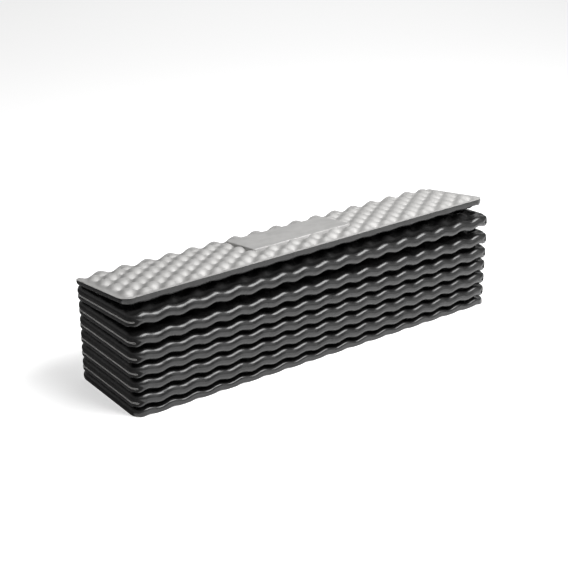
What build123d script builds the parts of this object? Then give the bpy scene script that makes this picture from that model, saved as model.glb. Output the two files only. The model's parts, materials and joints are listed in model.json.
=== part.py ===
from build123d import *
import os

# A closed-cell foam sleeping pad, folded up into a stack. Millimetres and degrees.
# X runs along the fold lines, Y from the front of the stack to its back, and Z up.
# The origin is the centre of the footprint, on the ground. Panel 1 is on top.
#
# The mat is one long strip of egg-crate foam with a reflective film on one face. Each panel is
# modelled as a plain slab at the foam's mean thickness. Odd panels carry their film on top and even
# panels carry it underneath. A fold is a narrow strip between two hinge lines, one at the mid-plane
# of the panel below it and one at the mid-plane of the panel above.

# Driving dimensions
MAT_WIDTH = 550.0            # along the fold lines
STACK_DEPTH = 136.0          # front to back, over the outer faces of the folds
PANEL_COUNT = 14
SLAB_THICKNESS = 8.4         # one layer of foam with its film
FILM_THICKNESS = 0.3
LAYER_GAP = 0.8              # air between neighbouring layers
FOLD_THICKNESS = 3.4         # from a fold's hinge lines to its outer face
CORNER_RADIUS = 14.0         # plan corners of the mat
HINGE_CLEARANCE = 0.3        # between a panel's cut edge and the fold strip beside it
TOP_FLAP_SETBACK = 11.5      # from the front folds back to the top panel's free edge
REST_OPENINGS = {1: 4.0, 3: 2.8, 5: 0.8}   # how far the sprung folds stand open in the stack

# The flat raised badge pressed into the top panel
BADGE_LENGTH = 150.0
BADGE_WIDTH = 62.0
BADGE_HEIGHT = 4.0           # up to the level of the foam's bumps
BADGE_CORNER_RADIUS = 3.0
BADGE_OFFSET = 7.0           # from the top panel's centre line towards the back

# Sizes that follow from them
LAYER_PITCH = SLAB_THICKNESS + LAYER_GAP
HALF_DEPTH = STACK_DEPTH / 2
HALF_SLAB = SLAB_THICKNESS / 2
HINGE_REACH = HALF_DEPTH - FOLD_THICKNESS
FOLDED_EDGE = HINGE_REACH - HINGE_CLEARANCE
TOP_FLAP_EDGE = HALF_DEPTH - TOP_FLAP_SETBACK


def fold_side(fold):
    """Odd folds are at the back of the stack (+1) and even folds at the front (-1)."""
    return 1 if fold % 2 else -1


def rest_locations():
    """Where each panel's centre and each fold's lower hinge line lie in the stack, from the ground up."""
    panels = {PANEL_COUNT: Location((0, 0, HALF_SLAB))}
    folds = {}
    for fold in range(PANEL_COUNT - 1, 0, -1):
        side = fold_side(fold)
        half_opening = Location((0, 0, 0), (-side * REST_OPENINGS.get(fold, 0.0) / 2, 0, 0))
        folds[fold] = panels[fold + 1] * Location((0, side * HINGE_REACH, 0)) * half_opening
        upper_hinge = folds[fold] * Location((0, 0, LAYER_PITCH))
        panels[fold] = upper_hinge * half_opening * Location((0, -side * HINGE_REACH, 0))
    return panels, folds


def plan_slab(front, back, bottom, top):
    """A slab as wide as the mat, with rounded plan corners."""
    plan = Pos(0, (front + back) / 2, bottom) * RectangleRounded(MAT_WIDTH, back - front, CORNER_RADIUS)
    return extrude(plan, top - bottom)


def keep_between(solid, front, back):
    """The part of a solid that lies between two planes across the stack."""
    window = Box(2 * MAT_WIDTH, back - front, 4 * LAYER_PITCH)
    return solid & Pos(0, (front + back) / 2, 0) * window


def panel_layer(panel, bottom, top):
    """One layer of a panel, cut square at its folds and rounded at a free front edge."""
    if panel == 1:
        front = -TOP_FLAP_EDGE
        cut_front = front
    elif panel == PANEL_COUNT:
        front = -HALF_DEPTH
        cut_front = front
    else:
        front = -HALF_DEPTH
        cut_front = -FOLDED_EDGE
    return keep_between(plan_slab(front, HALF_DEPTH, bottom, top), cut_front, FOLDED_EDGE)


def panel_pieces(panel):
    """The foam and film of one panel, about the panel's own centre."""
    if panel % 2:
        film = panel_layer(panel, HALF_SLAB - FILM_THICKNESS, HALF_SLAB)
        foam = panel_layer(panel, -HALF_SLAB, HALF_SLAB - FILM_THICKNESS)
    else:
        film = panel_layer(panel, -HALF_SLAB, FILM_THICKNESS - HALF_SLAB)
        foam = panel_layer(panel, FILM_THICKNESS - HALF_SLAB, HALF_SLAB)
    return foam, film


def fold_layer(side, inner, outer):
    """One layer of a fold strip, about its lower hinge line, between two depths outside that line."""
    strip = plan_slab(-HALF_DEPTH, HALF_DEPTH, 0, LAYER_PITCH)
    near, far = sorted((side * (HINGE_REACH + inner), side * (HINGE_REACH + outer)))
    return Pos(0, -side * HINGE_REACH, 0) * keep_between(strip, near, far)


def fold_pieces(fold):
    """The foam and film of one fold. The film is outside at the back of the stack and inside at the front."""
    side = fold_side(fold)
    if side > 0:
        foam = fold_layer(side, 0, FOLD_THICKNESS - FILM_THICKNESS)
        film = fold_layer(side, FOLD_THICKNESS - FILM_THICKNESS, FOLD_THICKNESS)
    else:
        film = fold_layer(side, 0, FILM_THICKNESS)
        foam = fold_layer(side, FILM_THICKNESS, FOLD_THICKNESS)
    return foam, film


def badge_plate():
    """The raised badge, standing on the top panel's film, about the panel's own centre."""
    centre = (FOLDED_EDGE - TOP_FLAP_EDGE) / 2 + BADGE_OFFSET
    plan = Pos(0, centre, HALF_SLAB) * RectangleRounded(BADGE_LENGTH, BADGE_WIDTH, BADGE_CORNER_RADIUS)
    return extrude(plan, BADGE_HEIGHT)


def build_nodes():
    """Every node's name with its solid, in place in the stack."""
    panels, folds = rest_locations()
    nodes = {}
    for panel, place in sorted(panels.items()):
        foam, film = panel_pieces(panel)
        nodes[f"panel_{panel:02d}_foam"] = place * foam
        nodes[f"panel_{panel:02d}_film"] = place * film
    for fold, place in sorted(folds.items()):
        foam, film = fold_pieces(fold)
        nodes[f"fold_{fold:02d}_foam"] = place * foam
        nodes[f"fold_{fold:02d}_film"] = place * film
    nodes["badge_plate"] = panels[1] * badge_plate()
    return nodes


os.makedirs("parts", exist_ok=True)
for name, solid in build_nodes().items():
    export_step(solid, f"parts/{name}.step")
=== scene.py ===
"""An accordion-folding foam sleeping pad, stacked flat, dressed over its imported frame.

Fourteen egg-crate panels of closed-cell foam are joined by thirteen folds at the
front and the back. One face of the foam carries a bright metallised film. Every
panel and fold is a closed slab whose two faces are numpy grids, and all of them
share one wave, so the layers nest when they lie on each other.

Lengths are metres and angles radians.
"""

from __future__ import annotations

import json
import logging
import math
from dataclasses import dataclass, field
from enum import Enum

import bpy
import numpy as np
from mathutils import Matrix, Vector

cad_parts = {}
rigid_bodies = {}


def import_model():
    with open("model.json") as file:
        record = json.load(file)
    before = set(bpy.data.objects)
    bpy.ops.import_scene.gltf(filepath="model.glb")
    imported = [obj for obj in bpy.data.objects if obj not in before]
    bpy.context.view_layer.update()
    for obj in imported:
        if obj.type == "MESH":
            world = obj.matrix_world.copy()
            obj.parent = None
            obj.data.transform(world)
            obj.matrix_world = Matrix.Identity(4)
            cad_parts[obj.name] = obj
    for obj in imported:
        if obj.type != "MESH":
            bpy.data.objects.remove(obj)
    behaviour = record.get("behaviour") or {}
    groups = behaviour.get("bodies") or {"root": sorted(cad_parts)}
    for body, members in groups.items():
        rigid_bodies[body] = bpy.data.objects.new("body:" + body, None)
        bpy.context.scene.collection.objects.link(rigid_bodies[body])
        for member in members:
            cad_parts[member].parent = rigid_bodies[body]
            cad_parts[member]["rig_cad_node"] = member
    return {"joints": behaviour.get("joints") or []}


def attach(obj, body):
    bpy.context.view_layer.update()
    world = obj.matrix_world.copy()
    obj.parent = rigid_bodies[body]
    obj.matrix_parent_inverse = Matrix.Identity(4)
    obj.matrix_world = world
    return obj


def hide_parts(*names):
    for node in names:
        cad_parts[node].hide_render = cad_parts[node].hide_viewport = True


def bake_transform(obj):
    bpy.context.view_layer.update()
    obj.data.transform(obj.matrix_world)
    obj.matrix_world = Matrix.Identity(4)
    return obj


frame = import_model()

LOG = logging.getLogger("sleeping_pad")
MM = 0.001


class Slot(Enum):
    """The record's material slots."""

    FOAM = "foam"
    FILM = "film"


class Face(Enum):
    """Which side of a panel the film is on."""

    UP = 1
    DOWN = -1


def smoothstep(value: np.ndarray) -> np.ndarray:
    """Returns 3v² - 2v³ of value held between 0 and 1."""
    held = np.clip(value, 0.0, 1.0)
    return held * held * (3.0 - 2.0 * held)


def unit(vector: np.ndarray) -> np.ndarray:
    """Returns vector divided by its length."""
    return vector / np.linalg.norm(vector)


# ---------------------------------------------------------------- finishes


@dataclass(frozen=True)
class NodeSheet:
    """A material's node tree, with short ways to add and join nodes."""

    tree: bpy.types.NodeTree

    def add(self, kind: str, **settings: object) -> bpy.types.Node:
        """Adds a node.

        Args:
            kind: The node's type name.
            settings: Attributes set on the node.

        Returns:
            The new node.
        """
        node = self.tree.nodes.new(kind)
        for name, value in settings.items():
            setattr(node, name, value)
        return node

    def join(self, source: bpy.types.NodeSocket, target: bpy.types.NodeSocket) -> None:
        """Links one socket to another."""
        self.tree.links.new(source, target)

    def noise(
        self, place: bpy.types.NodeSocket, scale: float, detail: float, rough: float = 0.5
    ) -> bpy.types.NodeSocket:
        """Adds a fractal noise.

        Args:
            place: The coordinates it reads.
            scale: Features per metre.
            detail: Number of octaves.
            rough: Share kept by each octave.

        Returns:
            The noise's value socket, about 0.5 on average.
        """
        node = self.add("ShaderNodeTexNoise")
        node.inputs["Scale"].default_value = scale
        node.inputs["Detail"].default_value = detail
        node.inputs["Roughness"].default_value = rough
        self.join(place, node.inputs["Vector"])
        return node.outputs["Fac"]

    def cells(self, place: bpy.types.NodeSocket, scale: float) -> bpy.types.NodeSocket:
        """Adds a cell pattern and returns its distance-to-centre socket."""
        node = self.add("ShaderNodeTexVoronoi")
        node.inputs["Scale"].default_value = scale
        self.join(place, node.inputs["Vector"])
        return node.outputs["Distance"]

    def spread(
        self, value: bpy.types.NodeSocket, old: tuple[float, float], new: tuple[float, float]
    ) -> bpy.types.NodeSocket:
        """Maps a value range to another.

        Args:
            value: The socket to map.
            old: The range it has.
            new: The range it gets.

        Returns:
            The mapped value socket.
        """
        node = self.add("ShaderNodeMapRange")
        node.inputs["From Min"].default_value, node.inputs["From Max"].default_value = old
        node.inputs["To Min"].default_value, node.inputs["To Max"].default_value = new
        self.join(value, node.inputs["Value"])
        return node.outputs["Result"]

    def ramp(
        self, value: bpy.types.NodeSocket, stops: list[tuple[float, tuple[float, float, float]]]
    ) -> bpy.types.NodeSocket:
        """Adds a colour ramp.

        Args:
            value: The socket that picks the colour.
            stops: (position, colour) pairs in order.

        Returns:
            The colour socket.
        """
        node = self.add("ShaderNodeValToRGB")
        marks = node.color_ramp.elements
        while len(marks) < len(stops):
            marks.new(0.5)
        for mark, (position, colour) in zip(marks, stops):
            mark.position = position
            mark.color = (*colour, 1.0)
        self.join(value, node.inputs["Fac"])
        return node.outputs["Color"]

    def bump(
        self,
        height: bpy.types.NodeSocket,
        strength: float,
        depth: float,
        under: bpy.types.NodeSocket | None = None,
    ) -> bpy.types.NodeSocket:
        """Adds a bump.

        Args:
            height: The height socket.
            strength: How much of the bump shows.
            depth: The height's full depth.
            under: The normal socket of a bump below it.

        Returns:
            The normal socket.
        """
        node = self.add("ShaderNodeBump")
        node.inputs["Strength"].default_value = strength
        node.inputs["Distance"].default_value = depth
        self.join(height, node.inputs["Height"])
        if under is not None:
            self.join(under, node.inputs["Normal"])
        return node.outputs["Normal"]


@dataclass(frozen=True)
class FilmFinish:
    """Metallised film bonded to the foam: satin silver with fine crinkles."""

    name: str = "metallised_film"
    pale: tuple[float, float, float] = (0.44, 0.435, 0.427)
    deep: tuple[float, float, float] = (0.37, 0.366, 0.359)
    metallic: float = 0.3
    roughness: tuple[float, float] = (0.52, 0.62)

    def make(self) -> bpy.types.Material:
        """Returns the film's material, its pattern read from where the film lay flat."""
        material = bpy.data.materials.new(self.name)
        material.use_nodes = True
        sheet = NodeSheet(material.node_tree)
        shader = material.node_tree.nodes["Principled BSDF"]
        flat = sheet.add("ShaderNodeAttribute", attribute_name="flat_place").outputs["Vector"]
        mottle = sheet.noise(flat, 55.0, 4.0)
        sheet.join(
            sheet.ramp(mottle, [(0.32, self.deep), (0.68, self.pale)]),
            shader.inputs["Base Color"],
        )
        shader.inputs["Metallic"].default_value = self.metallic
        haze = sheet.noise(flat, 210.0, 3.0)
        sheet.join(sheet.spread(haze, (0.3, 0.7), self.roughness), shader.inputs["Roughness"])
        crinkle = sheet.noise(flat, 420.0, 5.0, 0.62)
        weld = sheet.cells(flat, 900.0)
        low = sheet.bump(crinkle, 0.30, 0.0006)
        sheet.join(sheet.bump(weld, 0.12, 0.0002, low), shader.inputs["Normal"])
        return material


@dataclass(frozen=True)
class FoamFinish:
    """Closed-cell foam with a moulded satin skin."""

    name: str = "closed_cell_foam"
    pale: tuple[float, float, float] = (0.014, 0.0137, 0.0137)
    deep: tuple[float, float, float] = (0.006, 0.006, 0.006)
    roughness: tuple[float, float] = (0.38, 0.52)

    def make(self) -> bpy.types.Material:
        """Returns the foam's material, its pattern read from where the foam lay flat."""
        material = bpy.data.materials.new(self.name)
        material.use_nodes = True
        sheet = NodeSheet(material.node_tree)
        shader = material.node_tree.nodes["Principled BSDF"]
        flat = sheet.add("ShaderNodeAttribute", attribute_name="flat_place").outputs["Vector"]
        mottle = sheet.noise(flat, 90.0, 4.0)
        sheet.join(
            sheet.ramp(mottle, [(0.30, self.deep), (0.70, self.pale)]),
            shader.inputs["Base Color"],
        )
        haze = sheet.noise(flat, 260.0, 3.0)
        sheet.join(sheet.spread(haze, (0.3, 0.7), self.roughness), shader.inputs["Roughness"])
        shader.inputs["Specular IOR Level"].default_value = 0.08
        shader.inputs["Coat Weight"].default_value = 1.0
        shader.inputs["Coat Roughness"].default_value = 0.24
        skin = sheet.noise(flat, 500.0, 4.0, 0.6)
        pores = sheet.cells(flat, 1500.0)
        low = sheet.bump(skin, 0.35, 0.0006)
        sheet.join(sheet.bump(pores, 0.25, 0.0003, low), shader.inputs["Normal"])
        return material


@dataclass(frozen=True)
class CutFoamFinish:
    """The foam's pressed and cut ends: dull, with an open grain."""

    name: str = "cut_foam"
    pale: tuple[float, float, float] = (0.016, 0.0155, 0.0155)
    deep: tuple[float, float, float] = (0.006, 0.006, 0.006)

    def make(self) -> bpy.types.Material:
        """Returns the ends' material, its grain read from where the foam lay flat."""
        material = bpy.data.materials.new(self.name)
        material.use_nodes = True
        sheet = NodeSheet(material.node_tree)
        shader = material.node_tree.nodes["Principled BSDF"]
        flat = sheet.add("ShaderNodeAttribute", attribute_name="flat_place").outputs["Vector"]
        grain = sheet.cells(flat, 1100.0)
        sheet.join(
            sheet.ramp(grain, [(0.15, self.deep), (0.75, self.pale)]),
            shader.inputs["Base Color"],
        )
        shader.inputs["Roughness"].default_value = 0.75
        shader.inputs["Specular IOR Level"].default_value = 0.1
        rough = sheet.noise(flat, 700.0, 4.0, 0.65)
        low = sheet.bump(rough, 0.5, 0.0008)
        sheet.join(sheet.bump(grain, 0.4, 0.0004, low), shader.inputs["Normal"])
        return material


# ---------------------------------------------------------------- surfaces


@dataclass(frozen=True)
class Wave:
    """The egg-crate wave that every layer shares.

    With s the sine of x over its pitch times the sine of t over its pitch,
    and t measured from the panel's middle towards the back, the height is the
    amplitude times s plus the breadth times one less s squared: broad crests
    and narrow dimples. It fades out at the two ends of the pad. Towards a
    fold the breadth fades and s shrinks to the ribbon wave the fold carries.
    """

    amplitude: float = 4.0 * MM
    pitch_x: float = 32.1 * MM
    pitch_t: float = 25.95 * MM
    start_x: float = 7.0 * MM
    breadth: float = 0.45
    breadth_from: float = 36.0 * MM
    breadth_to: float = 50.0 * MM
    front_share: float = 0.38
    back_share: float = 0.62
    fold_from: float = 45.4125 * MM
    fold_to: float = 58.3875 * MM
    end_from: float = 263.0 * MM
    end_to: float = 271.0 * MM

    def height(self, x: np.ndarray, t: np.ndarray) -> np.ndarray:
        """Works out the wave.

        Args:
            x: Places along the pad's width.
            t: Places across a panel.

        Returns:
            The heights, in the shape that x and t broadcast to.
        """
        held = np.clip(t, -self.fold_to, self.fold_to)
        near = smoothstep((np.abs(held) - self.fold_from) / (self.fold_to - self.fold_from))
        share = np.where(held < 0.0, self.front_share, self.back_share)
        along = 1.0 - (1.0 - share) * near
        across = 1.0 - smoothstep((np.abs(x) - self.end_from) / (self.end_to - self.end_from))
        fade = (np.abs(held) - self.breadth_from) / (self.breadth_to - self.breadth_from)
        breadth = self.breadth * (1.0 - smoothstep(fade))
        turn_x = 2 * math.pi * (x - self.start_x) / self.pitch_x
        s = np.sin(turn_x) * np.sin(2 * math.pi * held / self.pitch_t)
        return self.amplitude * across * along * (s + breadth * (1.0 - s**2))


@dataclass(frozen=True)
class Rim:
    """A rounded edge: a quarter ellipse that reaches in from the edge and sinks at it."""

    reach: float
    depth: float

    def drop(self, row_gap: np.ndarray, column_gap: np.ndarray) -> np.ndarray:
        """Works out how far a face sinks round its rim.

        Args:
            row_gap: Each row's distance from a free edge.
            column_gap: Each column's distance from the pad's nearer end.

        Returns:
            The depth less the ellipse's height at each grid point, where how
            far round it is comes from the two distances squared and added.
        """
        rows = np.clip(1.0 - row_gap / self.reach, 0.0, 1.0)[:, None]
        columns = np.clip(1.0 - column_gap / self.reach, 0.0, 1.0)[None, :]
        return self.depth * (1.0 - np.sqrt(1.0 - np.clip(rows**2 + columns**2, 0.0, 1.0)))


@dataclass(frozen=True)
class Outline:
    """The pad's plan: a long rectangle with rounded corners."""

    half_width: float = 275.0 * MM
    corner: float = 14.0 * MM
    middle: float = 255.0 * MM
    per_wave: int = 12
    pitch: float = 32.1 * MM

    def half_width_at(self, reach: np.ndarray, edge: float) -> np.ndarray:
        """Works out half the width.

        Args:
            reach: Distances from the panel's middle, across it.
            edge: The distance at which the corner ends.

        Returns:
            The half width less the corner's circle, which starts one radius
            before the edge.
        """
        into = np.clip(np.abs(reach) - (edge - self.corner), 0.0, self.corner)
        return self.half_width - self.corner + np.sqrt(self.corner**2 - into**2)

    def columns(self, rim: Rim) -> tuple[np.ndarray, np.ndarray]:
        """Places the grid's columns along the width.

        Args:
            rim: The rounding at the two ends.

        Returns:
            The columns' x on a panel without corners, and the distance of
            each from the nearer end.
        """
        count = int(round(2 * self.middle / self.pitch * self.per_wave))
        inner = np.linspace(-self.middle, self.middle, count + 1)
        last = self.half_width - rim.reach
        side = np.linspace(self.middle, last, 7)[1:]
        turn = np.sin(np.radians([18.0, 36.0, 54.0, 69.0, 80.0, 90.0]))
        right = np.concatenate([side, last + rim.reach * turn])
        x = np.concatenate([-right[::-1], inner, right])
        return x, self.half_width - np.abs(x)

    def fit(self, x: np.ndarray, half_width: np.ndarray) -> np.ndarray:
        """Draws the outer columns in to a narrower row.

        Args:
            x: Columns on the full width.
            half_width: Half the width of each row.

        Returns:
            A row by column grid of x, changed only past the middle stretch.
        """
        past = np.clip(np.abs(x) - self.middle, 0.0, None)[None, :]
        share = (half_width[:, None] - self.middle) / (self.half_width - self.middle)
        return np.sign(x)[None, :] * (np.minimum(np.abs(x), self.middle)[None, :] + past * share)


@dataclass
class Slab:
    """A closed slab between two grids of points of the same shape.

    Attributes:
        outer: Rows by columns by 3, the face whose normal the winding gives.
        inner: The facing grid.
        flat: Rows by columns by 2, where each point lay in the flat pad.
        depth: Outer and inner depth in the flat pad.
    """

    outer: np.ndarray
    inner: np.ndarray
    flat: np.ndarray
    depth: tuple[float, float] = (0.0, 0.0084)

    def layer(self, start: float, end: float | None) -> "Slab":
        """Cuts a layer from the slab.

        Args:
            start: Distance of its outer face below the slab's.
            end: Distance of its inner face below the slab's outer face, or
                None for the slab's own inner face.

        Returns:
            The layer, each point moved along the line to the facing grid.
        """
        way = self.inner - self.outer
        way = way / np.maximum(np.linalg.norm(way, axis=2, keepdims=True), 1e-9)
        inner = self.inner if end is None else self.outer + way * end
        last = self.depth[1] if end is None else self.depth[0] + end
        return Slab(self.outer + way * start, inner, self.flat, (self.depth[0] + start, last))

    def arrays(self) -> tuple[np.ndarray, np.ndarray, np.ndarray]:
        """Lists the slab's points and quads.

        Returns:
            Points, quads that face outwards, and each point's flat place:
            both grids, then a wall between the grids' matching borders.
        """
        rows, cols = self.outer.shape[:2]
        size = rows * cols
        index = np.arange(size).reshape(rows, cols)
        quads = np.stack(
            [index[:-1, :-1], index[:-1, 1:], index[1:, 1:], index[1:, :-1]], axis=-1
        ).reshape(-1, 4)
        border = np.concatenate(
            [index[0, :-1], index[:-1, -1], index[-1, :0:-1], index[:0:-1, 0]]
        )
        following = np.roll(border, -1)
        walls = np.stack([following, border, border + size, following + size], axis=-1)
        faces = np.concatenate([quads, quads[:, ::-1] + size, walls])
        points = np.concatenate([self.outer.reshape(-1, 3), self.inner.reshape(-1, 3)])
        flat = self.flat.reshape(-1, 2)
        deep = np.concatenate([np.full(size, self.depth[0]), np.full(size, self.depth[1])])
        place = np.column_stack([np.concatenate([flat, flat]), deep])
        return points, faces, place

    def signed_volume(self) -> float:
        """Returns the volume by the divergence rule, negative if inside out."""
        points, faces, _ = self.arrays()
        a, b, c, d = (points[faces[:, k]] for k in range(4))
        first = np.einsum("ij,ij->i", a, np.cross(b, c)).sum()
        second = np.einsum("ij,ij->i", a, np.cross(c, d)).sum()
        return float(first + second) / 6.0

    def outward(self) -> "Slab":
        """Returns the slab with its columns turned round if it is inside out."""
        if self.signed_volume() >= 0.0:
            return self
        return Slab(self.outer[:, ::-1], self.inner[:, ::-1], self.flat[:, ::-1], self.depth)

    def mesh(self, name: str, sharp: float = 50.0) -> bpy.types.Object:
        """Puts the slab into a mesh object.

        Args:
            name: The object's name.
            sharp: Edges that turn by more than this many degrees stay sharp.

        Returns:
            The object, at the origin and linked to the scene.
        """
        points, faces, place = self.outward().arrays()
        data = bpy.data.meshes.new(name)
        data.vertices.add(len(points))
        data.vertices.foreach_set("co", points.astype(np.float32).ravel())
        data.loops.add(faces.size)
        data.loops.foreach_set("vertex_index", faces.astype(np.int32).ravel())
        data.polygons.add(len(faces))
        data.polygons.foreach_set("loop_start", np.arange(0, faces.size, 4, dtype=np.int32))
        data.polygons.foreach_set("use_smooth", np.ones(len(faces), dtype=bool))
        data.update(calc_edges=True)
        data.validate()
        data.set_sharp_from_angle(angle=math.radians(sharp))
        mark = data.attributes.new("flat_place", "FLOAT_VECTOR", "POINT")
        mark.data.foreach_set("vector", place.astype(np.float32).ravel())
        made = bpy.data.objects.new(name, data)
        bpy.context.scene.collection.objects.link(made)
        return made


# ---------------------------------------------------------------- the pad


@dataclass(frozen=True)
class Gauge:
    """The pad's thicknesses and the sizes of its rims."""

    half: float = 4.2 * MM
    film: float = 0.3 * MM
    tuck: float = 0.05 * MM
    film_rim: Rim = Rim(0.3 * MM, 0.18 * MM)
    foam_rim: Rim = Rim(5.5 * MM, 6.2 * MM)
    lip_rim: Rim = Rim(2.6 * MM, 3.2 * MM)
    reach: float = 64.6 * MM
    core: float = 51.9 * MM
    run: float = 138.4 * MM


@dataclass(frozen=True)
class PanelFrame:
    """Where a panel lies: its middle, the way to its back and its upward way, in (y, z)."""

    number: int
    centre: np.ndarray
    back: np.ndarray
    up: np.ndarray

    @property
    def face(self) -> Face:
        """Returns the side the film is on."""
        return Face.UP if self.number % 2 else Face.DOWN

    @property
    def run_sense(self) -> float:
        """Returns whether the flat pad runs towards this panel's back or front."""
        return 1.0 if self.number % 2 else -1.0

    def place(self, x: np.ndarray, t: np.ndarray, n: np.ndarray) -> np.ndarray:
        """Puts panel places into the scene.

        Args:
            x: Along the width.
            t: From the middle towards the back.
            n: Upwards from the middle of the thickness.

        Returns:
            Points: the centre plus t along the back way plus n along the up way.
        """
        x, t, n = np.broadcast_arrays(x, t, n)
        y = self.centre[0] + t * self.back[0] + n * self.up[0]
        z = self.centre[1] + t * self.back[1] + n * self.up[1]
        return np.stack([x, y, z], axis=-1)


@dataclass
class Stack:
    """The folded stack's layout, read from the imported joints."""

    gauge: Gauge
    joints: dict[str, np.ndarray] = field(default_factory=dict)
    panels: dict[int, PanelFrame] = field(default_factory=dict)
    last: int = 14

    def read(self, listed: list[dict]) -> None:
        """Finds every panel's frame.

        Args:
            listed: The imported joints. A panel lies between its two hinge
                points. The bottom panel lies level, and the top one leans
                from its strip as far as the panel below does, the other way.
        """
        for joint in listed:
            self.joints[joint["name"]] = np.array(joint["pos_m"][1:], float)
        for number in range(2, self.last):
            below, above = self.hinge(number, "upper"), self.hinge(number - 1, "lower")
            back, front = (below, above) if number % 2 else (above, below)
            self.panels[number] = self.framed(number, (back + front) / 2, unit(back - front))
        level = np.array([1.0, 0.0])
        lowest = self.hinge(self.last - 1, "lower")
        self.panels[self.last] = self.framed(self.last, lowest - self.gauge.reach * level, level)
        strip = self.strip_up(1)
        lower_up = self.panels[2].up
        up = 2.0 * float(lower_up @ strip) * strip - lower_up
        back = np.array([up[1], -up[0]])
        self.panels[1] = self.framed(1, self.hinge(1, "upper") - self.gauge.reach * back, back)

    def framed(self, number: int, centre: np.ndarray, back: np.ndarray) -> PanelFrame:
        """Returns the frame with that centre and back way."""
        return PanelFrame(number, centre, back, np.array([-back[1], back[0]]))

    def hinge(self, number: int, end: str) -> np.ndarray:
        """Returns fold number's lower or upper hinge point in (y, z)."""
        return self.joints[f"fold_{number:02d}_{end}_hinge"]

    def strip_up(self, number: int) -> np.ndarray:
        """Returns the way from a fold's lower hinge to its upper one."""
        return unit(self.hinge(number, "upper") - self.hinge(number, "lower"))

    def side(self, number: int) -> float:
        """Returns 1 for a fold at the back and -1 for one at the front."""
        return 1.0 if number % 2 else -1.0


@dataclass
class Dresser:
    """Turns slabs into finished pieces of foam and film."""

    gauge: Gauge
    finishes: dict[Slot, bpy.types.Material]
    cut: bpy.types.Material
    half_width: float = 275.0 * MM
    cut_reach: float = 2.0 * MM
    made: int = 0

    def dress(self, slab: Slab, name: str, slot: Slot, node: str) -> bpy.types.Object:
        """Makes one piece.

        Args:
            slab: Its shape.
            name: Its name.
            slot: The material slot it takes its finish from.
            node: The solid it stands for.

        Returns:
            The piece.
        """
        piece = slab.mesh(name)
        piece.data.materials.append(self.finishes[slot])
        if slot is Slot.FOAM:
            self.cut_ends(piece.data)
        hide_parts(node)
        self.made += 1
        return piece

    def cut_ends(self, data: bpy.types.Mesh) -> None:
        """Gives the faces at the pad's two ends the cut foam's finish.

        Args:
            data: A foam piece's mesh. A face is at an end if the last of its
                points lay within the end's reach of the flat pad's end.
        """
        data.materials.append(self.cut)
        place = np.zeros(len(data.vertices) * 3, np.float32)
        data.attributes["flat_place"].data.foreach_get("vector", place)
        corners = np.zeros(len(data.loops), np.int32)
        data.loops.foreach_get("vertex_index", corners)
        nearest = np.abs(place[0::3][corners]).reshape(-1, 4).min(axis=1)
        at_end = nearest > self.half_width - self.cut_reach
        data.polygons.foreach_set("material_index", at_end.astype(np.int32))

    def foam_and_film(
        self, slab: Slab, film_outside: bool, stem: str, foam_node: str, film_node: str
    ) -> tuple[bpy.types.Object, bpy.types.Object, Slab]:
        """Splits a slab into its foam and the film bonded to one face.

        Args:
            slab: The whole thickness.
            film_outside: True if the film is on the slab's outer grid.
            stem: The pieces' names before "_foam" and "_film".
            foam_node: The solid the foam stands for.
            film_node: The solid the film stands for.

        Returns:
            The foam, the film, and the film's slab.
        """
        facing = slab if film_outside else Slab(slab.inner, slab.outer, slab.flat, slab.depth)
        film_slab = facing.layer(0.0, self.gauge.film)
        foam_slab = facing.layer(self.gauge.film - self.gauge.tuck, None)
        foam = self.dress(foam_slab, f"{stem}_foam", Slot.FOAM, foam_node)
        film = self.dress(film_slab, f"{stem}_film", Slot.FILM, film_node)
        return foam, film, film_slab

    def declare(
        self, foam: bpy.types.Object, film: bpy.types.Object, film_slab: Slab, length: float
    ) -> None:
        """Args:
            foam: The foam piece. Not used.
            film: The film piece. Not used.
            film_slab: The film's slab. Not used.
            length: The film's flat length across the panel. Not used.
        """


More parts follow.
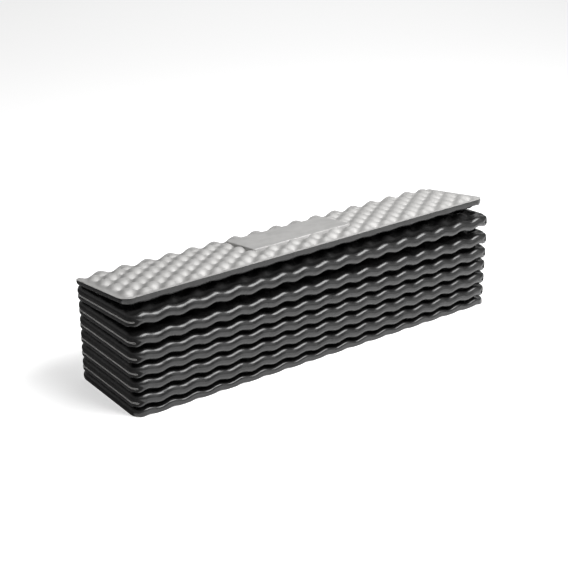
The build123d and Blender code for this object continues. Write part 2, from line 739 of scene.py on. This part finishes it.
@dataclass
class Panels:
    """The fourteen egg-crate panels, each without the stretches that bend."""

    stack: Stack
    wave: Wave
    outline: Outline
    dresser: Dresser
    rows_per_wave: int = 10
    top_rows_per_wave: int = 12
    top_edge: float = 56.5 * MM
    bottom_edge: float = 68.0 * MM
    flatten: float = 6.0 * MM
    under_share: float = 0.35
    curl: tuple[float, float] = (1.1 * MM, 2.4 * MM)

    def rows(self, number: int) -> tuple[np.ndarray, np.ndarray, float]:
        """Places a panel's rows.

        Args:
            number: The panel.

        Returns:
            The rows' t from front to back, the distance of each from the
            panel's free edge, and that edge's distance from the middle (or
            the stack's, where both edges bend).
        """
        gauge = self.dresser.gauge
        per = self.top_rows_per_wave if number == 1 else self.rows_per_wave
        edge = {1: self.top_edge, self.stack.last: self.bottom_edge}.get(number)
        if edge is None:
            count = int(round(2 * gauge.core / self.wave.pitch_t * per))
            t = np.linspace(-gauge.core, gauge.core, count + 1)
            return t, np.full(len(t), 1.0), self.bottom_edge
        start = -(edge - self.outline.corner)
        count = int(round((gauge.core - start) / self.wave.pitch_t * per))
        straight = np.linspace(start, gauge.core, count + 1)
        rim = gauge.lip_rim.reach
        arc = np.radians(np.linspace(80.0, 9.0, 9))
        corner = start - (self.outline.corner - rim) * np.sin(arc)
        lip = -edge + rim - rim * np.sin(np.radians([90.0, 80.0, 66.0, 50.0, 33.0, 16.0, 0.0]))
        corner = corner[corner > lip[-1] + 0.2 * MM]
        t = np.concatenate([lip, corner, straight])
        return t, t + edge, edge

    def top_lift(self, x: np.ndarray, t: np.ndarray) -> np.ndarray:
        """Works out how far the loose top panel curls up.

        Args:
            x: Places along the width.
            t: Places across the panel.

        Returns:
            A plane in x that grows evenly from nothing at the fold to its
            full height at the free edge, more at the right end.
        """
        full = self.curl[0] + self.curl[1] * x / self.outline.half_width
        share = (self.dresser.gauge.core - t) / (self.dresser.gauge.core + self.top_edge)
        return full * np.clip(share, 0.0, 1.0)

    def heights(self, number: int, x: np.ndarray, t: np.ndarray) -> tuple[np.ndarray, np.ndarray]:
        """Works out the waves of a panel's two faces.

        Args:
            number: The panel.
            x: A grid of places along the width.
            t: The rows' t.

        Returns:
            The upper and lower face's wave. The top panel curls up, with its
            upper face flattened and its lower face calmed at the free edge.
            The bottom panel's lower face is the wave's upper half, softened,
            so that it stands on the floor.
        """
        wave = self.wave.height(x, t[:, None])
        upper, lower = wave, wave
        if number == 1:
            fade = smoothstep((t + self.top_edge) / self.flatten)[:, None]
            calmed = smoothstep((t + self.top_edge) / (2 * self.flatten))[:, None]
            under = self.under_share + (1.0 - self.under_share) * calmed
            lift = self.top_lift(x, t[:, None])
            upper, lower = wave * fade + lift, wave * under + lift
        if number == self.stack.last:
            lower = lifted(wave)
        return upper, lower

    def build(self) -> None:
        """Makes every panel's foam and film, each riding on its panel."""
        gauge = self.dresser.gauge
        for number in sorted(self.stack.panels):
            panel = self.stack.panels[number]
            t, row_gap, edge = self.rows(number)
            columns, gap = self.outline.columns(gauge.foam_rim)
            x = self.outline.fit(columns, self.outline.half_width_at(np.minimum(t, 0.0), edge))
            upper, lower = self.heights(number, x, t)
            film_drop = gauge.film_rim.drop(np.full(len(t), 1.0), gap)
            lip_drop = gauge.lip_rim.drop(row_gap, gap)
            foam_drop = np.maximum(gauge.foam_rim.drop(np.full(len(t), 1.0), gap), lip_drop)
            top_drop, under_drop = (
                (film_drop, foam_drop) if panel.face is Face.UP else (foam_drop, film_drop)
            )
            tt = np.broadcast_to(t[:, None], x.shape)
            outer = panel.place(x, tt, gauge.half + upper - top_drop)
            inner = panel.place(x, tt, -gauge.half + lower + under_drop)
            run = number * gauge.run + panel.run_sense * tt
            slab = Slab(outer, inner, np.stack([x, run], axis=-1))
            body = f"panel_{number:02d}"
            foam, film, film_slab = self.dresser.foam_and_film(
                slab, panel.face is Face.UP, f"{body}_eggcrate", f"{body}_foam", f"{body}_film"
            )
            self.dresser.declare(foam, film, film_slab, float(np.ptp(t)))
            for piece in (foam, film):
                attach(piece, body)
            LOG.info("%s: %d rows, %d columns", body, len(t), len(columns))


def lifted(wave: np.ndarray, softness: float = 1.0 * MM) -> np.ndarray:
    """Returns half of the sum of wave and the root of wave² + softness²."""
    return (wave + np.sqrt(wave**2 + softness**2)) / 2.0


@dataclass(frozen=True)
class FoldProfile:
    """Half of a fold in section, from its panel to the strip's middle.

    Places are (u, v) in millimetres: u outwards from the hinge point, v from
    the hinge point towards the strip's middle. The outer curve sinks behind
    the fold's nose, so that a dark groove parts each nose from the next.
    """

    groove: tuple[tuple[float, float], ...]
    nose_start: float
    nose_reach: tuple[float, float]
    middle: float = 4.6
    crease: tuple[tuple[float, float], ...] = (
        (-12.7, 4.2),
        (-10.6, 4.2),
        (-8.5, 4.2),
        (-6.6, 4.2),
        (-4.9, 4.2),
        (-3.4, 4.17),
        (-2.5, 4.12),
        (-1.7, 4.08),
        (-1.1, 4.03),
        (-0.6, 4.0),
        (-0.2, 4.02),
        (0.1, 4.1),
        (0.33, 4.3),
        (0.4, 4.6),
    )

    def outer(self) -> np.ndarray:
        """Returns the outer curve: the groove, then a quarter ellipse up to the strip's middle."""
        turn = np.radians(np.linspace(0.0, 90.0, 8))
        wide, tall = self.nose_reach
        arc = np.column_stack(
            [self.nose_start + wide * np.sin(turn), self.middle - tall * np.cos(turn)]
        )
        return np.concatenate([np.array(self.groove), arc]) * MM

    def inner(self) -> np.ndarray:
        """Returns the inner curve, point for point with the outer: flat, then round the crease."""
        return np.array(self.crease) * MM


UPPER_HALF = FoldProfile(
    ((-12.7, -4.2), (-11.2, -4.05), (-9.6, -3.6), (-8.0, -3.05), (-6.4, -2.8), (-4.6, -3.0)),
    -2.6,
    (6.0, 8.1),
)
LOWER_HALF = FoldProfile(
    ((-12.7, -4.2), (-10.9, -3.95), (-9.0, -3.25), (-7.2, -2.35), (-5.6, -1.75), (-4.2, -1.5)),
    -2.8,
    (6.2, 6.1),
)


@dataclass
class Folds:
    """The thirteen folds, each two bending halves that meet in the strip's middle."""

    stack: Stack
    wave: Wave
    outline: Outline
    dresser: Dresser
    bend_from: float = -3.6 * MM
    bend_to: float = 0.2 * MM
    edge: float = 68.0 * MM

    def swept(
        self, number: int, upper: bool, curve: np.ndarray, x: np.ndarray, rise: np.ndarray
    ) -> np.ndarray:
        """Carries a profile curve along the width.

        Args:
            number: The fold.
            upper: True for the half at the upper panel.
            curve: Its (u, v) places.
            x: Rows by columns of places along the width.
            rise: Rows by columns of upward displacement.

        Returns:
            Points: the hinge point plus u and v along two ways that turn from
            the panel's to the strip's by the smoothstep of u.
        """
        side = self.stack.side(number)
        strip = self.stack.strip_up(number)
        outward = side * np.array([strip[1], -strip[0]])
        panel = self.stack.panels[number if upper else number + 1]
        hinge = self.stack.hinge(number, "upper" if upper else "lower")
        sense = -1.0 if upper else 1.0
        panel_u, panel_v = side * panel.back, sense * panel.up
        lean = math.atan2(float(outward @ panel_v), float(outward @ panel_u))
        weight = smoothstep((curve[:, 0] - self.bend_from) / (self.bend_to - self.bend_from))
        c, s = np.cos(weight * lean)[:, None], np.sin(weight * lean)[:, None]
        way_u = c * panel_u + s * panel_v
        way_v = -s * panel_u + c * panel_v
        u = np.broadcast_to(curve[:, 0][:, None], x.shape)
        v = curve[:, 1][:, None] + sense * rise
        y = hinge[0] + u * way_u[:, 0][:, None] + v * way_v[:, 0][:, None]
        z = hinge[1] + u * way_u[:, 1][:, None] + v * way_v[:, 1][:, None]
        return np.stack([x, y, z], axis=-1)

    def half_slab(self, number: int, upper: bool) -> tuple[Slab, float, float]:
        """Shapes one half of a fold.

        Args:
            number: The fold.
            upper: True for the half at the upper panel.

        Returns:
            The slab, and the lengths of its outer and inner curve.
        """
        gauge = self.dresser.gauge
        side = self.stack.side(number)
        panel_number = number if upper else number + 1
        panel = self.stack.panels[panel_number]
        profile = UPPER_HALF if upper else LOWER_HALF
        outer, inner = profile.outer(), profile.inner()
        columns, gap = self.outline.columns(gauge.foam_rim)
        grids, runs = [], []
        for curve in (outer, inner):
            reach = gauge.reach + curve[:, 0]
            x = self.outline.fit(columns, self.outline.half_width_at(reach, self.edge))
            rise = self.wave.height(x, side * reach[:, None])
            if curve is outer and number == self.stack.last - 1 and not upper:
                share = smoothstep((curve[:, 1] + gauge.half) / (2 * gauge.half))[:, None]
                rise = lifted(rise) * (1.0 - share) + rise * share
            grids.append(self.swept(number, upper, curve, x, rise))
            steps = np.linalg.norm(np.diff(curve, axis=0), axis=1)
            runs.append(np.concatenate([[0.0], np.cumsum(steps)]))
        film_outside = side > 0
        none = np.full(len(outer), 1.0)
        rims = (gauge.film_rim, gauge.foam_rim)
        if not film_outside:
            rims = rims[::-1]
        way = grids[1] - grids[0]
        thick = np.linalg.norm(way, axis=2, keepdims=True)
        way, share = way / thick, np.minimum(thick / (2 * gauge.half), 1.0)
        grids[0] = grids[0] + way * share * rims[0].drop(none, gap)[..., None]
        grids[1] = grids[1] - way * share * rims[1].drop(none, gap)[..., None]
        share = runs[0] / runs[0][-1]
        nominal = gauge.run / 2 - gauge.core
        run = panel_number * gauge.run + panel.run_sense * side * (gauge.core + share * nominal)
        flat = np.stack(
            [np.broadcast_to(columns, way.shape[:2]), np.broadcast_to(run[:, None], way.shape[:2])],
            axis=-1,
        )
        return Slab(grids[0], grids[1], flat), float(runs[0][-1]), float(runs[1][-1])

    def build(self) -> None:
        """Makes every fold's four pieces, each curved from its panel to its strip, with its
        placement baked into its points.
        """
        for number in range(1, self.stack.last):
            side = self.stack.side(number)
            strip = self.stack.strip_up(number)
            node = f"fold_{number:02d}"
            for upper in (False, True):
                slab, outer_length, inner_length = self.half_slab(number, upper)
                end = "upper" if upper else "lower"
                foam, film, film_slab = self.dresser.foam_and_film(
                    slab, side > 0, f"{node}_{end}", f"{node}_foam", f"{node}_film"
                )
                self.dresser.declare(
                    foam, film, film_slab, outer_length if side > 0 else inner_length
                )
                hinge = self.stack.hinge(number, end)
                for piece in (foam, film):
                    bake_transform(piece)
            LOG.info("%s: two halves, foam and film", node)


@dataclass
class BadgePlate:
    """The raised plain plate that stands among the bumps of the top panel."""

    stack: Stack
    dresser: Dresser
    panels: Panels
    half_width: float = 75.0 * MM
    half_length: float = 31.0 * MM
    centre: float = 10.9 * MM
    top: float = 8.75 * MM
    foot: float = 0.0 * MM
    corner: float = 3.0 * MM
    rim: float = 1.6 * MM
    flare: float = 1.2 * MM
    points: int = 160

    def build(self) -> None:
        """Makes the plate: a top grid carried out over its rim and down a wall to the foam."""
        ring = self.border(self.points)
        shares = np.concatenate([np.linspace(0.02, 0.94, 26), [0.975]])
        edge = self.crown(ring)
        rings = [ring * share for share in shares]
        heights = [self.crown(inner) for inner in rings]
        for turn in np.radians([0.0, 22.5, 45.0, 67.5, 90.0]):
            rings.append(self.shrunk(ring, self.rim * (1.0 - math.sin(turn))))
            heights.append(edge - self.rim * (1.0 - math.cos(turn)))
        for share in (0.35, 0.7, 1.0):
            rings.append(self.shrunk(ring, -self.flare * share))
            heights.append(edge - self.rim - (self.top - self.rim - self.foot) * share)
        grid_xy = np.stack(rings)
        lift = self.panels.top_lift(grid_xy[..., 0], self.centre + grid_xy[..., 1])
        self.mesh(self.stack.panels[1], grid_xy, np.stack(heights) + lift)

    def border(self, count: int) -> np.ndarray:
        """Works out the plate's outline.

        Args:
            count: How many points it has.

        Returns:
            Points at even steps along a rectangle whose corners are quarter
            circles, from the middle of the right side and round to the left.
        """
        a, b, r = self.half_width - self.corner, self.half_length - self.corner, self.corner
        arc = math.pi / 2 * r
        lengths = [b, arc, 2 * a, arc, 2 * b, arc, 2 * a, arc, b]
        marks = np.concatenate([[0.0], np.cumsum(lengths)])
        s = np.arange(count) / count * marks[-1]
        part = np.searchsorted(marks, s, side="right") - 1
        side, along = part // 2, (s - marks[part])[:, None]
        quarter = side * math.pi / 2
        starts = np.array([(a + r, 0.0), (a, b + r), (-a - r, b), (-a, -b - r), (a + r, -b)])
        straight = starts[side] + along * np.column_stack([-np.sin(quarter), np.cos(quarter)])
        centres = np.array([(a, b), (-a, b), (-a, -b), (a, -b), (a, b)])
        turn = quarter + along[:, 0] / r
        bend = centres[side] + r * np.column_stack([np.cos(turn), np.sin(turn)])
        return np.where((part % 2 == 1)[:, None], bend, straight)

    def shrunk(self, ring: np.ndarray, inset: float) -> np.ndarray:
        """Returns the outline drawn in by inset on both axes."""
        half = np.array([self.half_width, self.half_length])
        return ring * ((half - inset) / half)

    def crown(self, place: np.ndarray) -> np.ndarray:
        """Works out the top's height.

        Args:
            place: Places on the plate from its middle.

        Returns:
            The top less a shallow hollow and three faint creases, all under
            half a millimetre.
        """
        x, y = place[:, 0] / self.half_width, place[:, 1] / self.half_length
        sag = 0.25 * MM * (1 - x**2) * (1 - y**2)
        creases = 0.0
        for mid, lean, deep in ((-0.42, 0.25, 0.22), (0.18, -0.3, 0.16), (0.63, 0.15, 0.2)):
            across = np.exp(-(((x - mid - lean * y) / 0.05) ** 2))
            creases = creases + deep * MM * across * (1 - y**2)
        return self.top - sag - creases

    def mesh(self, panel: PanelFrame, grid_xy: np.ndarray, grid_n: np.ndarray) -> None:
        """Puts the rings into a closed mesh.

        Args:
            panel: The panel it stands on.
            grid_xy: Rings by points by 2.
            grid_n: Rings by points of height.
        """
        rings, count = grid_n.shape
        points = panel.place(grid_xy[..., 0], self.centre + grid_xy[..., 1], grid_n).reshape(-1, 3)
        head = panel.place(np.array([0.0]), np.array([self.centre]), grid_n[:1, :1].ravel())
        foot = panel.place(np.array([0.0]), np.array([self.centre]), grid_n[-1:, :1].ravel())
        index = np.arange(rings * count).reshape(rings, count)
        after = np.roll(index, -1, axis=1)
        quads = np.stack([index[:-1], index[1:], after[1:], after[:-1]], axis=-1).reshape(-1, 4)
        top_fan = np.column_stack([np.full(count, rings * count), index[0], after[0]])
        foot_fan = np.column_stack([np.full(count, rings * count + 1), after[-1], index[-1]])
        everything = np.concatenate([points, head.reshape(-1, 3), foot.reshape(-1, 3)])
        data = bpy.data.meshes.new("badge_plate_film")
        data.from_pydata(
            everything.tolist(), [], quads.tolist() + top_fan.tolist() + foot_fan.tolist()
        )
        data.polygons.foreach_set("use_smooth", np.ones(len(data.polygons), dtype=bool))
        data.set_sharp_from_angle(angle=math.radians(50))
        flat = np.column_stack(
            [everything[:, 0], self.dresser.gauge.run + everything[:, 1], everything[:, 2]]
        )
        mark = data.attributes.new("flat_place", "FLOAT_VECTOR", "POINT")
        mark.data.foreach_set("vector", flat.astype(np.float32).ravel())
        plate = bpy.data.objects.new("badge_plate_film", data)
        bpy.context.scene.collection.objects.link(plate)
        data.materials.append(self.dresser.finishes[Slot.FILM])
        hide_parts("badge_plate")
        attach(plate, "panel_01")
        LOG.info("badge plate: %d rings of %d points", rings, count)


# ---------------------------------------------------------------- the studio


@dataclass(frozen=True)
class Studio:
    """Floor, lights and camera."""

    lens: float = 80.54
    heading: float = math.radians(36.37)
    pitch: float = math.radians(23.22)
    eye: tuple[float, float, float] = (-0.8878, -1.1808, 0.7078)
    floor_tone: float = 0.88
    world_strength: float = 0.24
    floor_glow: float = 0.52

    def camera(self) -> None:
        """Makes the camera."""
        data = bpy.data.cameras.new("camera")
        data.lens = self.lens
        data.sensor_width = 36.0
        data.clip_start = 0.01
        data.clip_end = 50.0
        made = bpy.data.objects.new("camera", data)
        bpy.context.scene.collection.objects.link(made)
        made.location = self.eye
        ahead = Vector(
            (
                math.sin(self.heading) * math.cos(self.pitch),
                math.cos(self.heading) * math.cos(self.pitch),
                -math.sin(self.pitch),
            )
        )
        made.rotation_euler = ahead.to_track_quat("-Z", "Y").to_euler()
        bpy.context.scene.camera = made

    def lamp(
        self,
        name: str,
        place: tuple[float, float, float],
        target: tuple[float, float, float],
        size: tuple[float, float],
        power: float,
    ) -> None:
        """Makes a soft rectangular lamp.

        Args:
            name: Its name.
            place: Where it hangs.
            target: The point it faces.
            size: Its width and height.
            power: Its power in watts.
        """
        data = bpy.data.lights.new(name, "AREA")
        data.shape = "RECTANGLE"
        data.size, data.size_y = size
        data.energy = power
        made = bpy.data.objects.new(name, data)
        bpy.context.scene.collection.objects.link(made)
        made.location = place
        way = Vector(target) - Vector(place)
        made.rotation_euler = way.to_track_quat("-Z", "Y").to_euler()

    def floor(self) -> None:
        """Makes the plain pale floor."""
        data = bpy.data.meshes.new("floor")
        reach = 12.0
        corners = [(-reach, -reach, 0), (reach, -reach, 0), (reach, reach, 0), (-reach, reach, 0)]
        data.from_pydata(corners, [], [(0, 1, 2, 3)])
        material = bpy.data.materials.new("floor_paint")
        material.use_nodes = True
        shader = material.node_tree.nodes["Principled BSDF"]
        shader.inputs["Base Color"].default_value = (self.floor_tone,) * 3 + (1.0,)
        shader.inputs["Roughness"].default_value = 0.9
        shader.inputs["Specular IOR Level"].default_value = 0.1
        shader.inputs["Emission Color"].default_value = (1.0, 1.0, 1.0, 1.0)
        shader.inputs["Emission Strength"].default_value = self.floor_glow
        data.materials.append(material)
        made = bpy.data.objects.new("floor", data)
        bpy.context.scene.collection.objects.link(made)
        made.location = (0, 0, -0.0002)

    def build(self) -> None:
        """Sets the world, floor, lamps and camera."""
        scene = bpy.context.scene
        world = bpy.data.worlds.new("studio")
        world.use_nodes = True
        sky = world.node_tree.nodes["Background"]
        sky.inputs["Color"].default_value = (1.0, 1.0, 1.0, 1.0)
        sky.inputs["Strength"].default_value = self.world_strength
        scene.world = world
        scene.view_settings.view_transform = "Standard"
        scene.view_settings.look = "None"
        self.floor()
        self.lamp("key", (0.35, -0.58, 1.15), (0.0, -0.05, 0.08), (0.95, 0.8), 25.0)
        self.lamp("front_right", (1.7, -1.9, 0.9), (0.0, 0.0, 0.08), (1.3, 1.1), 4.0)
        self.lamp("back_right", (1.6, 1.9, 1.25), (0.0, 0.0, 0.1), (1.7, 1.4), 4.0)
        self.camera()
        LOG.info("studio: floor, three lamps, camera")


def clear_defaults() -> None:
    """Removes the start-up cube, lamp and camera."""
    for name in ("Cube", "Light", "Camera"):
        found = bpy.data.objects.get(name)
        if found is not None and "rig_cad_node" not in found:
            bpy.data.objects.remove(found)


def main() -> None:
    logging.basicConfig(level=logging.INFO, format="%(name)s: %(message)s")
    clear_defaults()
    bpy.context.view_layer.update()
    Studio().build()
    gauge = Gauge()
    stack = Stack(gauge)
    stack.read(frame["joints"])
    finishes = {Slot.FOAM: FoamFinish().make(), Slot.FILM: FilmFinish().make()}
    dresser = Dresser(gauge, finishes, CutFoamFinish().make())
    wave, outline = Wave(), Outline()
    panels = Panels(stack, wave, outline, dresser)
    panels.build()
    Folds(stack, wave, outline, dresser).build()
    BadgePlate(stack, dresser, panels).build()
    LOG.info("%d pieces and the badge plate", dresser.made)


if __name__ == "__main__":
    main()
